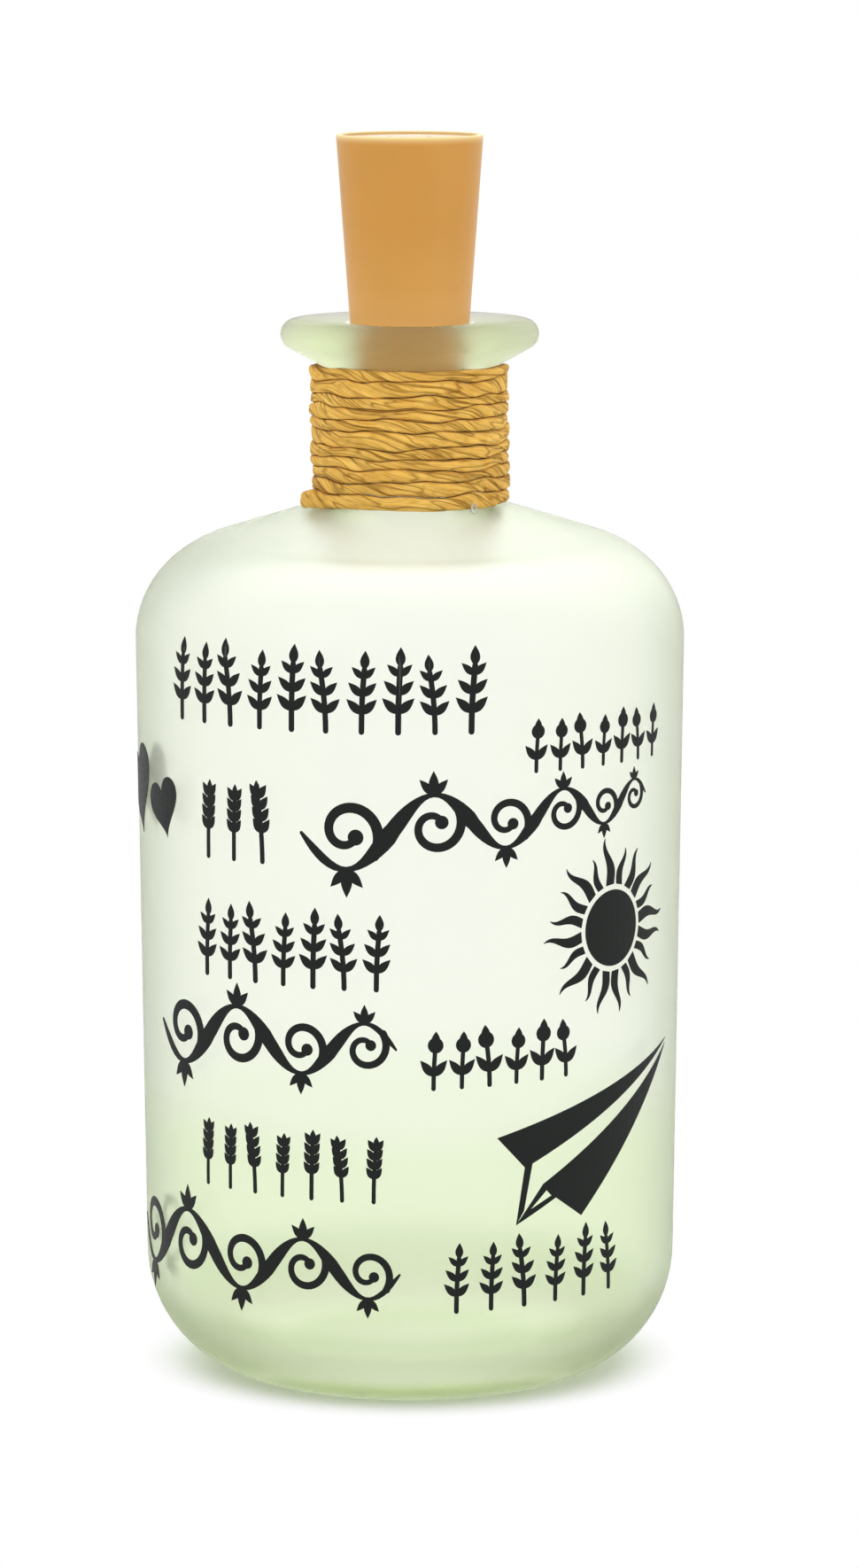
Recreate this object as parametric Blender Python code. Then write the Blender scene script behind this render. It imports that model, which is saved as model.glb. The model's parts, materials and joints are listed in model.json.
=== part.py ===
"""A light-up bottle: a frosted apothecary bottle whose stopper holds a small lamp.

The lamp stopper is a tapered shell that plugs the neck. A lamp module slides into it from above: a
carrier with three button cells, a push switch under the top cap and three lights that shine down
into the bottle through a clear cup.

Everything is in metres, +Z is up and the origin is the middle of the foot, on the table.
"""

import math

import bmesh
import bpy
from mathutils import Matrix, Vector

mm = 0.001

# Shared clearances and finish of the facets
gap = 0.3 * mm
overrun = 1.0 * mm
weld = 0.0005 * mm
arc_step = math.radians(24)
inner_arc_step = math.radians(15)
fine_arc_step = math.radians(10)
sharp_angle = math.radians(35)

# Glass bottle: body
body_radius = 42.0 * mm
foot_radius = 40.75 * mm
wall = 2.6 * mm
floor_thickness = 4.5 * mm
heel_reach = 19.0 * mm
heel_height = 19.5 * mm
bearing_width = 2.0 * mm
punt_depth = 2.5 * mm
shoulder_height = 114.3 * mm
shoulder_reach = 18.8 * mm
shoulder_rise = 16.8 * mm
shoulder_sweep = math.radians(71)
bottle_sides = 56

# Glass bottle: neck and lip
neck_radius = 13.3 * mm
neck_length = 20.54 * mm
neck_fillet = 1.2 * mm
throat_fillet = 2.5 * mm
lip_radius = 19.7 * mm
lip_edge_height = 3.6 * mm
lip_edge_round = 2.2 * mm
lip_angle = math.radians(29)
lip_fillet = 0.8 * mm
lip_crown_inset = 3.2 * mm
lip_dish = 0.5 * mm
mouth_round = 0.9 * mm

# Cord wound round the neck
cord_width = 1.4 * mm
cord_turn_gap = 0.42 * mm
cord_points_per_turn = 24
cord_start_angle = math.radians(185)

# Drop of glue that holds the lowest turn
glue_radius = 0.7 * mm
glue_angle = math.radians(-52)

# Stopper shell
stopper_rise = 28.0 * mm
stopper_top_radius = 11.2 * mm
shell_rim_wall = 0.85 * mm
shell_foot_wall = 1.0 * mm
shell_edge_round = 0.5 * mm
stopper_sides = 40

# Top cap
cap_recess = 0.4 * mm
cap_thickness = 1.4 * mm
cap_edge_round = 0.3 * mm
spigot_wall = 1.4 * mm
pry_notch_radius = 1.5 * mm
cap_sides = 32
notch_sides = 12

# Push button and its switch
button_radius = 3.0 * mm
button_proud = 0.2 * mm
button_crown = 0.3 * mm
button_travel = 0.8 * mm
button_flange_width = 1.2 * mm
button_flange_thickness = 0.7 * mm
button_boss_radius = 1.5 * mm
button_boss_height = 0.5 * mm
switch_width = 6.0 * mm
switch_height = 3.0 * mm
switch_edge_round = 0.35 * mm
plunger_radius = 1.6 * mm
plunger_rise = 1.3 * mm
plunger_depth = 0.9 * mm
button_sides = 24

# Circuit boards and what they carry
board_thickness = 1.0 * mm
resistor_size = (1.25 * mm, 2.0 * mm, 0.5 * mm)
resistor_edge_round = 0.1 * mm
contact_radius = 4.0 * mm
contact_thickness = 0.3 * mm
contact_dimple_radius = 1.6 * mm
contact_dimple_depth = 0.3 * mm

# Button cells
cell_radius = 5.8 * mm
cell_height = 5.4 * mm
cell_cap_radius = 4.9 * mm
cell_cap_height = 0.3 * mm
cell_edge_round = 0.35 * mm
cell_count = 3
cell_sides = 24

# Spring under the cells
spring_height = 3.6 * mm
spring_wire = 0.5 * mm
spring_top_radius = 2.4 * mm
spring_foot_radius = 4.6 * mm
spring_turns = 2.75
spring_points_per_turn = 10

# Lamp carrier
carrier_wall = 0.65 * mm
carrier_head_wall = 1.0 * mm
carrier_head_step = 1.0 * mm
carrier_lip_height = 0.9 * mm
carrier_lip_width = 1.1 * mm
strip_width = 1.2 * mm
strip_thickness = 0.35 * mm
carrier_sides = 32

# Lights and the clear cup round them
light_radius = 1.5 * mm
light_length = 4.4 * mm
light_flange_width = 0.35 * mm
light_flange_height = 0.8 * mm
light_circle_radius = 2.6 * mm
light_count = 3
light_sides = 12
cup_wall = 0.9 * mm
cup_floor = 5.3 * mm
cup_crown = 0.6 * mm

# Radii that follow from the sizes above, from the button cells outwards
carrier_bore = cell_radius + gap
carrier_radius = carrier_bore + carrier_wall
shell_bore = carrier_radius + gap
stopper_foot_radius = shell_bore + shell_foot_wall
board_radius = carrier_radius - gap / 2
head_bore = board_radius + gap
head_radius = head_bore + carrier_head_wall
shell_head_bore = head_radius + gap
spigot_radius = head_bore - gap
button_hole_radius = button_radius + gap
button_flange_radius = button_radius + button_flange_width
switch_pocket_radius = plunger_radius + gap
carrier_lip_bore = carrier_bore - carrier_lip_width
cup_radius = carrier_bore - gap
cup_nose_radius = carrier_lip_bore - gap
strip_slot_width = strip_width + 2 * gap
throat_radius = stopper_foot_radius + gap
bearing_outer_radius = foot_radius - heel_reach
bearing_inner_radius = bearing_outer_radius - bearing_width
cord_radius = (neck_radius + gap + cord_width / 2) / math.cos(math.pi / cord_points_per_turn)

# Heights that follow from the sizes above, up the glass from the shoulder
cone_start_radius = body_radius - shoulder_reach + shoulder_reach * math.cos(shoulder_sweep)
cone_start_height = shoulder_height + shoulder_rise * math.sin(shoulder_sweep)
cone_slope = shoulder_rise / shoulder_reach / math.tan(shoulder_sweep)
neck_foot = cone_start_height + cone_slope * (cone_start_radius - neck_radius)
lip_foot = neck_foot + neck_length
lip_edge_foot = lip_foot + math.tan(lip_angle) * (lip_radius - neck_radius)
glass_height = lip_edge_foot + lip_edge_height

# Heights that follow from the sizes above, from the top of the stopper downwards
stopper_top = glass_height + stopper_rise
cap_top = stopper_top - cap_recess
cap_foot = cap_top - cap_thickness
cap_seat = cap_foot - gap
button_top = cap_top + button_proud
button_flange_top = cap_foot - gap
button_flange_foot = button_flange_top - button_flange_thickness
button_foot = button_flange_foot - button_boss_height
plunger_top = button_foot - gap
switch_top = plunger_top - plunger_rise
plunger_foot = switch_top - plunger_depth
switch_foot = switch_top - switch_height
switch_pocket_floor = plunger_foot - button_travel - gap
board_top = switch_foot - gap
board_foot = board_top - board_thickness
ledge_height = board_foot - gap
head_foot = ledge_height - carrier_head_step
head_top = cap_foot - gap
spigot_foot = board_top + gap
contact_top = board_foot - gap
contact_foot = contact_top - contact_thickness - contact_dimple_depth
cells_top = contact_foot - gap
cell_step = cell_height + gap
cells_foot = cells_top - cell_step * cell_count + gap
spring_top = cells_foot - gap
spring_foot = spring_top - spring_height
light_board_top = spring_foot - gap
light_board_foot = light_board_top - board_thickness
strip_top = board_foot - gap
strip_foot = light_board_top + gap
light_top = light_board_foot - gap
light_foot = light_top - light_length
cup_floor_top = light_foot - gap
cup_edge_foot = cup_floor_top - cup_floor
carrier_foot = cup_edge_foot - gap
carrier_lip_top = carrier_foot + carrier_lip_height
cup_seat = carrier_lip_top + gap
stopper_foot = carrier_foot
stopper_length = stopper_top - stopper_foot
stopper_taper = (stopper_top_radius - stopper_foot_radius) / stopper_length
cap_seat_radius = stopper_top_radius - stopper_taper * cap_recess - shell_rim_wall
cap_radius = cap_seat_radius - gap


def clear_scene():
    """Empties the file, so that only this part is in it."""
    for item in list(bpy.data.objects):
        bpy.data.objects.remove(item, do_unlink=True)


def finish(name, colour, roughness, metallic=0.0, transmission=0.0):
    """A plain material for one sub-part."""
    made = bpy.data.materials.new(name)
    made.use_nodes = True
    shader = made.node_tree.nodes["Principled BSDF"]
    shader.inputs["Base Color"].default_value = (*colour, 1.0)
    shader.inputs["Roughness"].default_value = roughness
    shader.inputs["Metallic"].default_value = metallic
    shader.inputs["Transmission Weight"].default_value = transmission
    made.diffuse_color = (*colour, 1.0)
    return made


def arc(centre, across, up, start, end, step=arc_step):
    """Points on an ellipse's arc, both ends included, with semi-axes across and up."""
    count = max(1, round(abs(end - start) / step))
    angles = [start + (end - start) * index / count for index in range(count + 1)]
    return [(centre[0] + across * math.cos(a), centre[1] + up * math.sin(a)) for a in angles]


def rounded(corners, closed=True, step=arc_step):
    """An outline through corners of (radius, height, fillet), each fillet an arc tangent to its sides."""
    outline = []
    last = len(corners) - 1
    for index, (radius, height, fillet) in enumerate(corners):
        at_end = not closed and index in (0, last)
        if at_end or fillet == 0:
            outline.append((radius, height))
            continue
        here = Vector((radius, height))
        back = Vector(corners[index - 1][:2]) - here
        ahead = Vector(corners[(index + 1) % len(corners)][:2]) - here
        half = back.angle(ahead) / 2
        centre = here + (back.normalized() + ahead.normalized()).normalized() * fillet / math.sin(half)
        first = here + back.normalized() * fillet / math.tan(half) - centre
        turn = first.angle_signed(here + ahead.normalized() * fillet / math.tan(half) - centre)
        count = max(1, round(abs(turn) / step))
        for stop in range(count + 1):
            point = centre + Matrix.Rotation(-turn * stop / count, 2) @ first
            outline.append((point.x, point.y))
    return outline


def add_object(name, data, material, foot=0.0, side=(0.0, 0.0), parent=None):
    """Puts a mesh or curve in the scene under its own name, with its origin at its own foot."""
    piece = bpy.data.objects.new(name, data)
    bpy.context.scene.collection.objects.link(piece)
    piece.location = (side[0], side[1], foot)
    if parent:
        piece.parent = parent
        piece.location.z -= parent.location.z
    if material and not data.materials:
        data.materials.append(material)
    return piece


def add_empty(name, height):
    """An empty on the bottle's axis that carries the pieces of one moving group."""
    group = bpy.data.objects.new(name, None)
    bpy.context.scene.collection.objects.link(group)
    group.location = (0.0, 0.0, height)
    return group


def turned_mesh(name, outline, sides, foot=0.0):
    """Spins an outline round Z. One that starts and ends on the axis is closed by the axis itself."""
    mesh = bpy.data.meshes.new(name)
    form = bmesh.new()
    points = [form.verts.new((radius, 0.0, height - foot)) for radius, height in outline]
    pairs = list(zip(points, points[1:]))
    on_axis = outline[0][0] < weld and outline[-1][0] < weld
    if not on_axis:
        pairs.append((points[-1], points[0]))
    edges = [form.edges.new(pair) for pair in pairs]
    bmesh.ops.spin(
        form,
        geom=points + edges,
        cent=(0.0, 0.0, 0.0),
        axis=(0.0, 0.0, 1.0),
        angle=math.tau,
        steps=sides,
        use_merge=True,
    )
    bmesh.ops.remove_doubles(form, verts=form.verts, dist=weld)
    bmesh.ops.recalc_face_normals(form, faces=form.faces)
    form.to_mesh(mesh)
    form.free()
    mesh.shade_smooth()
    mesh.set_sharp_from_angle(angle=sharp_angle)
    return mesh


def box_mesh(name, size, edge_round=0.0):
    """A block that stands on its origin, with its upright and level edges rounded alike."""
    mesh = bpy.data.meshes.new(name)
    form = bmesh.new()
    bmesh.ops.create_cube(form, size=1.0)
    bmesh.ops.scale(form, vec=size, verts=form.verts)
    bmesh.ops.translate(form, vec=(0.0, 0.0, size[2] / 2), verts=form.verts)
    if edge_round:
        bmesh.ops.bevel(form, geom=form.edges, offset=edge_round, segments=2, profile=0.5, affect="EDGES")
    bmesh.ops.recalc_face_normals(form, faces=form.faces)
    form.to_mesh(mesh)
    form.free()
    return mesh


def cut(piece, name, mesh, foot, side=(0.0, 0.0)):
    """Cuts a shape out of a piece with an exact Boolean. The cutter itself isn't part of the model."""
    cutter = add_object(name, mesh, None, foot, side)
    cutter.hide_render = True
    cutter.display_type = "WIRE"
    change = piece.modifiers.new(name, "BOOLEAN")
    change.operation = "DIFFERENCE"
    change.solver = "EXACT"
    change.object = cutter
    return cutter


def rod(radius, low, high):
    """The outline of a plain round rod, for cutters and pins."""
    return [(0.0, low), (radius, low), (radius, high), (0.0, high)]


def least_gap(points, width):
    """The least distance between two stretches of a tube that lie more than four widths apart along it."""
    run = [0.0]
    for before, after in zip(points, points[1:]):
        run.append(run[-1] + (after - before).length)
    least = math.inf
    for first, start in enumerate(points):
        for second in range(first + 1, len(points)):
            if run[second] - run[first] > 4 * width:
                least = min(least, (points[second] - start).length)
    return least - width


def tube(name, points, width, material, foot=0.0, parent=None):
    """One unbroken round tube through its points, with filled ends."""
    curve = bpy.data.curves.new(name, "CURVE")
    curve.dimensions = "3D"
    curve.bevel_depth = width / 2
    curve.bevel_resolution = 1
    curve.use_fill_caps = True
    spline = curve.splines.new("POLY")
    spline.points.add(len(points) - 1)
    for place, point in zip(spline.points, points):
        place.co = (point.x, point.y, point.z - foot, 1.0)
    print(f"{name}: least gap to itself {least_gap(points, width) / mm:.2f} mm")
    return add_object(name, curve, material, foot, parent=parent)


def stopper_radius(height):
    """The stopper's outer radius at a height, along its taper."""
    return stopper_foot_radius + stopper_taper * (height - stopper_foot)


def bottle_outline():
    """The glass in section: outside from the punt up to the lip, then down the bore and the inside."""
    shoulder_centre = (body_radius - shoulder_reach, shoulder_height)
    outer_shoulder = arc(shoulder_centre, shoulder_reach, shoulder_rise, 0.0, shoulder_sweep, fine_arc_step)
    mouth = glass_height - lip_dish
    inner_reach = shoulder_reach - wall
    inner_rise = shoulder_rise - wall
    inner_slope = inner_rise / inner_reach / math.tan(shoulder_sweep)
    inner_shoulder = arc(shoulder_centre, inner_reach, inner_rise, shoulder_sweep, 0.0, inner_arc_step)
    throat_foot = inner_shoulder[0][1] + inner_slope * (inner_shoulder[0][0] - throat_radius)
    punt_radius = (bearing_inner_radius**2 + punt_depth**2) / (2 * punt_depth)
    punt_sweep = math.asin(bearing_inner_radius / punt_radius)
    punt_centre = (0.0, punt_depth - punt_radius)
    heel_centre = (foot_radius - heel_reach, heel_height)
    inner_heel_rise = heel_height - floor_thickness

    upright = math.pi / 2
    outline = arc(punt_centre, punt_radius, punt_radius, upright, upright - punt_sweep, punt_sweep / 4)
    outline += arc(heel_centre, heel_reach, heel_height, -upright, 0.0, fine_arc_step)
    outline += outer_shoulder
    upper = [
        (*outer_shoulder[-1], 0.0),
        (neck_radius, neck_foot, neck_fillet),
        (neck_radius, lip_foot, lip_fillet),
        (lip_radius, lip_edge_foot, lip_edge_round),
        (lip_radius, glass_height, lip_edge_round),
        (lip_radius - lip_crown_inset, glass_height, lip_dish),
        (stopper_radius(mouth) + gap, mouth, mouth_round),
        (throat_radius, stopper_foot, 0.0),
        (throat_radius, throat_foot, throat_fillet),
        (*inner_shoulder[0], 0.0),
    ]
    outline += rounded(upper, closed=False)[1:]
    outline += inner_shoulder[1:]
    outline += arc(heel_centre, heel_reach - wall, inner_heel_rise, 0.0, -upright, inner_arc_step)
    outline.append((0.0, floor_thickness))
    return outline


def build_bottle(parent):
    glass = finish("frosted_glass", (0.80, 0.88, 0.78), 0.45, transmission=0.6)
    mesh = turned_mesh("glass_bottle", bottle_outline(), bottle_sides)
    add_object("glass_bottle", mesh, glass, parent=parent)


def cone_height(radius):
    """The height of the glass at a radius, on the straight slope between shoulder and neck."""
    return cone_start_height + cone_slope * (cone_start_radius - radius)


def build_neck_cord(parent):
    """The cord wound round the neck, from the shoulder up to the lip's underside, as one helix.

    Its ends run on straight for one cord width.
    """
    paper = finish("paper_cord", (0.76, 0.47, 0.16), 0.8)
    reach = cord_width / 2 + gap
    low = cone_height(cord_radius) + reach * math.hypot(1.0, cone_slope) + gap / 2
    high = lip_foot + math.tan(lip_angle) * (cord_radius - neck_radius) - reach / math.cos(lip_angle)
    pitch = cord_width + cord_turn_gap
    count = int((high - low) / pitch * cord_points_per_turn)
    points = []
    for index in range(count + 1):
        turn = index / cord_points_per_turn
        angle = cord_start_angle + math.tau * turn
        side = (cord_radius * math.cos(angle), cord_radius * math.sin(angle))
        points.append(Vector((*side, low + pitch * turn)))
    first = (points[0] - points[1]).normalized()
    last = (points[-1] - points[-2]).normalized()
    points = [points[0] + first * cord_width] + points + [points[-1] + last * cord_width]
    tube("neck_cord", points, cord_width, paper, foot=low, parent=parent)


def build_glue_drop(parent):
    """The clear drop of glue just below the cord, on the front of the shoulder."""
    glue = finish("clear_glue", (0.85, 0.85, 0.80), 0.2, transmission=0.7)
    out = cord_radius + cord_width
    low = cone_height(out) + (glue_radius + gap) * math.hypot(1.0, cone_slope)
    mesh = bpy.data.meshes.new("glue_drop")
    form = bmesh.new()
    bmesh.ops.create_uvsphere(form, u_segments=10, v_segments=6, radius=glue_radius)
    form.to_mesh(mesh)
    form.free()
    mesh.shade_smooth()
    side = (out * math.cos(glue_angle), out * math.sin(glue_angle))
    add_object("glue_drop", mesh, glue, low, side, parent)


def build_stopper_shell(parent):
    """The tapered moulding, bored in three steps for the cap, the carrier's head and the carrier."""
    cork_plastic = finish("cork_plastic", (0.66, 0.34, 0.10), 0.55)
    outline = rounded(
        [
            (shell_bore, stopper_foot, 0.0),
            (stopper_foot_radius, stopper_foot, shell_edge_round),
            (stopper_top_radius, stopper_top, shell_edge_round / 2),
            (cap_seat_radius, stopper_top, shell_edge_round / 2),
            (cap_seat_radius, cap_seat, 0.0),
            (shell_head_bore, cap_seat, 0.0),
            (shell_head_bore, head_foot - gap, 0.0),
            (shell_bore, head_foot - gap, 0.0),
        ],
        step=2 * arc_step,
    )
    mesh = turned_mesh("stopper_shell", outline, stopper_sides, stopper_foot)
    add_object("stopper_shell", mesh, cork_plastic, stopper_foot, parent=parent)


def build_top_cap(parent):
    """The cap over the switch, with a spigot that holds the board down and a notch to pry it out."""
    cap_plastic = finish("cap_plastic", (0.72, 0.42, 0.16), 0.5)
    outline = rounded(
        [
            (button_hole_radius, cap_foot, 0.0),
            (spigot_radius - spigot_wall, cap_foot, 0.0),
            (spigot_radius - spigot_wall, spigot_foot, 0.0),
            (spigot_radius, spigot_foot, cap_edge_round),
            (spigot_radius, cap_foot, 0.0),
            (cap_radius, cap_foot, 0.0),
            (cap_radius, cap_top, cap_edge_round),
            (button_hole_radius, cap_top, cap_edge_round),
        ],
        step=2 * arc_step,
    )
    mesh = turned_mesh("top_cap", outline, cap_sides, spigot_foot)
    cap = add_object("top_cap", mesh, cap_plastic, spigot_foot, parent=parent)
    notch = turned_mesh("pry_notch", rod(pry_notch_radius, 0.0, cap_thickness), notch_sides)
    cut(cap, "pry_notch", notch, cap_foot + cap_thickness / 2, (0.0, cap_radius))


def build_power_button(parent):
    """The round button, kept in by its flange under the cap. Its boss pushes the switch."""
    button_plastic = finish("button_plastic", (0.80, 0.52, 0.24), 0.45)
    outline = [(0.0, button_foot), (button_boss_radius, button_foot)]
    outline += [(button_boss_radius, button_flange_foot), (button_flange_radius, button_flange_foot)]
    outline += [(button_flange_radius, button_flange_top), (button_radius, button_flange_top)]
    crown_edge = button_top - button_crown
    outline += arc((0.0, crown_edge), button_radius, button_crown, 0.0, math.pi / 2)
    mesh = turned_mesh("power_button", outline, button_sides, button_foot)
    add_object("power_button", mesh, button_plastic, button_foot, parent=parent)


def build_switch(module, moving):
    """The push switch: a square body with a pocket, and the plunger that slides in it."""
    black = finish("switch_plastic", (0.03, 0.03, 0.03), 0.5)
    cream = finish("plunger_plastic", (0.75, 0.72, 0.62), 0.45)
    block = box_mesh("switch_body", (switch_width, switch_width, switch_height), switch_edge_round)
    body = add_object("switch_body", block, black, switch_foot, parent=module)
    pocket = turned_mesh("switch_pocket", rod(switch_pocket_radius, 0.0, switch_height), button_sides)
    cut(body, "switch_pocket", pocket, switch_pocket_floor)
    outline = rounded(
        [
            (0.0, plunger_foot, 0.0),
            (plunger_radius, plunger_foot, 0.0),
            (plunger_radius, plunger_top, cap_edge_round),
            (0.0, plunger_top, 0.0),
        ],
        closed=False,
    )
    mesh = turned_mesh("switch_plunger", outline, button_sides, plunger_foot)
    add_object("switch_plunger", mesh, cream, plunger_foot, parent=moving)


def build_boards(parent):
    """The switch board on the carrier's ledge, its resistor, the contact below it and the light board."""
    laminate = finish("board_laminate", (0.05, 0.22, 0.09), 0.5)
    ceramic = finish("resistor_ceramic", (0.08, 0.08, 0.09), 0.4)
    nickel = finish("contact_nickel", (0.70, 0.68, 0.62), 0.3, metallic=1.0)
    outline = [(0.0, board_foot), (board_radius, board_foot), (board_radius, board_top), (0.0, board_top)]
    mesh = turned_mesh("switch_board", outline, carrier_sides, board_foot)
    add_object("switch_board", mesh, laminate, board_foot, parent=parent)
    outline = [(0.0, light_board_foot), (cup_radius, light_board_foot), (cup_radius, light_board_top)]
    outline.append((0.0, light_board_top))
    mesh = turned_mesh("light_board", outline, carrier_sides, light_board_foot)
    add_object("light_board", mesh, laminate, light_board_foot, parent=parent)
    resistor = box_mesh("chip_resistor", resistor_size, resistor_edge_round)
    beside_switch = switch_width / 2 + gap + resistor_size[0] / 2
    add_object("chip_resistor", resistor, ceramic, board_top + gap, (beside_switch, 0.0), parent)
    slope = contact_dimple_depth
    outline = [
        (0.0, contact_foot),
        (contact_dimple_radius - slope, contact_foot),
        (contact_dimple_radius, contact_foot + contact_dimple_depth),
        (contact_radius, contact_foot + contact_dimple_depth),
        (contact_radius, contact_top),
        (contact_dimple_radius, contact_top),
        (contact_dimple_radius - slope, contact_top - contact_dimple_depth),
        (0.0, contact_top - contact_dimple_depth),
    ]
    mesh = turned_mesh("positive_contact", outline, cell_sides, contact_foot)
    add_object("positive_contact", mesh, nickel, contact_foot, parent=parent)


def build_cells(parent):
    """The stack of button cells, each with its narrower negative cap downwards."""
    steel = finish("cell_steel", (0.62, 0.63, 0.64), 0.25, metallic=1.0)
    rim = cell_cap_height
    outline = rounded(
        [
            (0.0, 0.0, 0.0),
            (cell_cap_radius, 0.0, 0.0),
            (cell_cap_radius, rim, 0.0),
            (cell_radius, rim, cell_edge_round),
            (cell_radius, cell_height, cell_edge_round),
            (0.0, cell_height, 0.0),
        ],
        closed=False,
        step=2 * arc_step,
    )
    mesh = turned_mesh("button_cell", outline, cell_sides)
    for index in range(cell_count):
        foot = cells_top - cell_height - cell_step * index
        add_object(f"button_cell_{index + 1}", mesh, steel, foot, parent=parent)


def build_spring(parent):
    """The conical spring that presses the cells up, wide coil down on the light board."""
    wire = finish("spring_steel", (0.66, 0.62, 0.52), 0.3, metallic=1.0)
    count = round(spring_turns * spring_points_per_turn)
    low = spring_foot + spring_wire / 2
    climb = spring_height - spring_wire
    points = []
    for index in range(count + 1):
        share = index / count
        angle = math.tau * index / spring_points_per_turn
        radius = spring_foot_radius + (spring_top_radius - spring_foot_radius) * share
        side = (radius * math.cos(angle), radius * math.sin(angle))
        points.append(Vector((*side, low + climb * share)))
    level = Vector((1.0, 1.0, 0.0))
    first = ((points[0] - points[1]) * level).normalized()
    last = ((points[-1] - points[-2]) * level).normalized()
    points = [points[0] + first * spring_wire] + points + [points[-1] + last * spring_wire]
    tube("negative_spring", points, spring_wire, wire, foot=spring_foot, parent=parent)


def build_carrier(parent):
    """The lamp carrier: a tube with a head, a ledge for the board and one side open for the cells."""
    white = finish("carrier_plastic", (0.80, 0.79, 0.74), 0.5)
    outline = [
        (carrier_lip_bore, carrier_foot),
        (carrier_radius, carrier_foot),
        (carrier_radius, head_foot),
        (head_radius, head_foot),
        (head_radius, head_top),
        (head_bore, head_top),
        (head_bore, ledge_height),
        (carrier_bore, ledge_height),
        (carrier_bore, carrier_lip_top),
        (carrier_lip_bore, carrier_lip_top),
    ]
    mesh = turned_mesh("battery_carrier", outline, carrier_sides, carrier_foot)
    carrier = add_object("battery_carrier", mesh, white, carrier_foot, parent=parent)
    window = cells_top - cells_foot + 2 * gap
    reach = head_radius + overrun
    window_mesh = box_mesh("cell_window", (2 * reach, reach, window))
    cut(carrier, "cell_window", window_mesh, cells_foot - gap, (0.0, reach / 2))
    slot_foot = strip_foot - gap
    slot_depth = head_radius + overrun - cell_radius
    slot_rise = ledge_height + overrun / 2 - slot_foot
    slot_mesh = box_mesh("strip_slot", (strip_slot_width, slot_depth, slot_rise))
    cut(carrier, "strip_slot", slot_mesh, slot_foot, (0.0, -cell_radius - slot_depth / 2))


def build_return_strip(parent):
    """The flat metal strip that joins the two boards, in a slot of the carrier behind the cells."""
    brass = finish("strip_brass", (0.72, 0.52, 0.22), 0.35, metallic=1.0)
    size = (strip_width, strip_thickness, strip_top - strip_foot)
    mesh = box_mesh("return_strip", size)
    add_object("return_strip", mesh, brass, strip_foot, (0.0, -carrier_bore - strip_thickness / 2), parent)


def build_lights(parent):
    """The lights: domed epoxy bodies with a flange, hanging from the light board."""
    epoxy = finish("light_epoxy", (0.95, 0.90, 0.70), 0.1, transmission=0.5)
    flange = light_radius + light_flange_width
    outline = [(0.0, light_top), (flange, light_top), (flange, light_top - light_flange_height)]
    dome_centre = (0.0, light_foot + light_radius)
    outline.append((light_radius, light_top - light_flange_height))
    outline += arc(dome_centre, light_radius, light_radius, 0.0, -math.pi / 2)
    mesh = turned_mesh("light", outline[::-1], light_sides, light_foot)
    for index in range(light_count):
        angle = math.tau * index / light_count + math.pi / 2
        side = (light_circle_radius * math.cos(angle), light_circle_radius * math.sin(angle))
        add_object(f"light_{index + 1}", mesh, epoxy, light_foot, side, parent)


def build_light_cup(parent):
    """The clear cup: its wall stands round the lights and its thick floor is the lens."""
    clear = finish("clear_acrylic", (0.90, 0.93, 0.93), 0.05, transmission=0.95)
    inner = cup_radius - cup_wall
    outline = [(0.0, cup_floor_top), (inner, cup_floor_top), (inner, light_top), (cup_radius, light_top)]
    outline += [(cup_radius, cup_seat), (cup_nose_radius, cup_seat)]
    outline += arc((0.0, cup_edge_foot), cup_nose_radius, cup_crown, 0.0, -math.pi / 2)
    mesh = turned_mesh("light_cup", outline[::-1], cell_sides, cup_edge_foot - cup_crown)
    add_object("light_cup", mesh, clear, cup_edge_foot - cup_crown, parent=parent)


def build():
    clear_scene()
    bottle = add_empty("bottle_group", 0.0)
    stopper = add_empty("stopper_group", stopper_foot)
    module = add_empty("module_group", carrier_foot)
    press = add_empty("button_group", button_foot)
    build_bottle(bottle)
    build_neck_cord(bottle)
    build_glue_drop(bottle)
    build_stopper_shell(stopper)
    build_top_cap(module)
    build_power_button(press)
    build_switch(module, press)
    build_boards(module)
    build_cells(module)
    build_spring(module)
    build_carrier(module)
    build_return_strip(module)
    build_lights(module)
    build_light_cup(module)


build()
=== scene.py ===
"""The looks of the light-up bottle: frosted glass, twisted paper cord, vinyl figures and the lamp stopper.

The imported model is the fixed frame. Turned solids get a finer surface of the same outline, read from the
frame. The cord and the glue are made anew in their own places. The vinyl lies on the glass.
Lengths are in metres, and the bottle stands on the table at the origin with its front towards -Y.
"""

import json
import math

import bmesh
import bpy
import numpy as np
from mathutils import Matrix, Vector
from mathutils.geometry import delaunay_2d_cdt

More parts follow.
